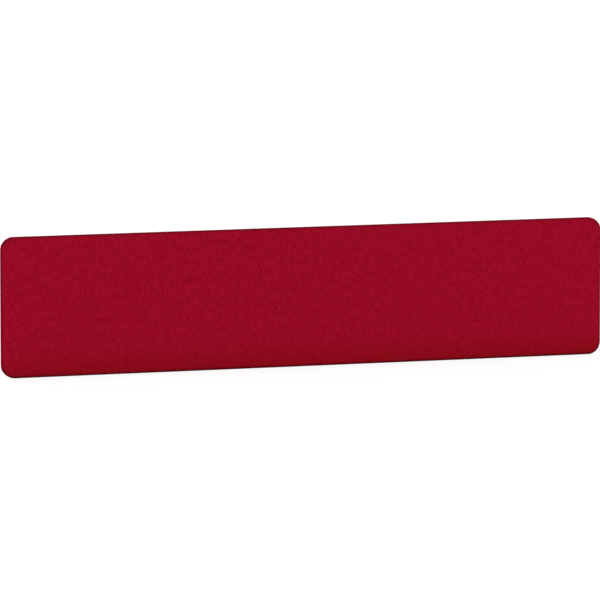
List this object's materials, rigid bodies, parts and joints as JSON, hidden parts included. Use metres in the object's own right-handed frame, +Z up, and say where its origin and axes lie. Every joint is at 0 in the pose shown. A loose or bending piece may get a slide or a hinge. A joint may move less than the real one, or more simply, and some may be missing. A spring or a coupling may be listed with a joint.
{
  "type": "acoustic divider screen",
  "caption": "Long upholstered desk divider panel with rounded corners, a removable wool cover with a recessed zip, and threaded inserts for brackets in its back.",
  "frame": {"origin": "middle of the bottom edge, where the screen stands on the desk", "axes": "+X along the screen towards the zip's closed end, +Y out of its back, +Z up"},
  "size_m": [1.8, 0.03, 0.4],
  "materials": {
    "wool_cloth": "matte",
    "board": "matte",
    "beech": "satin",
    "fibre_batt": "matte",
    "foam": "matte",
    "zip_tape": "matte",
    "zip_teeth": "satin",
    "zip_metal": "satin",
    "zinc_steel": "satin"
  },
  "bodies": {
    "screen": {"frame_top_rail": "board", "frame_bottom_rail": "board", "frame_left_stile": "board", "frame_right_stile": "board", "frame_left_post": "board", "frame_right_post": "board", "frame_dowels": "beech", "bracket_inserts": "zinc_steel", "absorber_left": "fibre_batt", "absorber_centre": "fibre_batt", "absorber_right": "fibre_batt", "front_foam": "foam", "rear_foam": "foam", "front_cover": "wool_cloth", "rear_cover": "wool_cloth", "edge_band": "wool_cloth", "zip_border_front": "wool_cloth", "zip_border_rear": "wool_cloth", "zip_tape_front": "zip_tape", "zip_tape_rear": "zip_tape", "zip_chain_front": "zip_teeth", "zip_chain_rear": "zip_teeth", "zip_stops": "zip_metal"},
    "slider": {"zip_slider": "zip_metal"},
    "pull": {"zip_pull": "zip_metal"}
  },
  "joints": [
    {"name": "zip_slide", "type": "slide", "parent": "screen", "child": "slider", "axis": [1, 0, 0], "range_m": [-1.6554, 0]},
    {"name": "pull_swing", "type": "hinge", "parent": "slider", "child": "pull", "pos_m": [0.8277, 0, 0.0031], "axis": [0, -1, 0], "range_deg": [0, 180]}
  ]
}
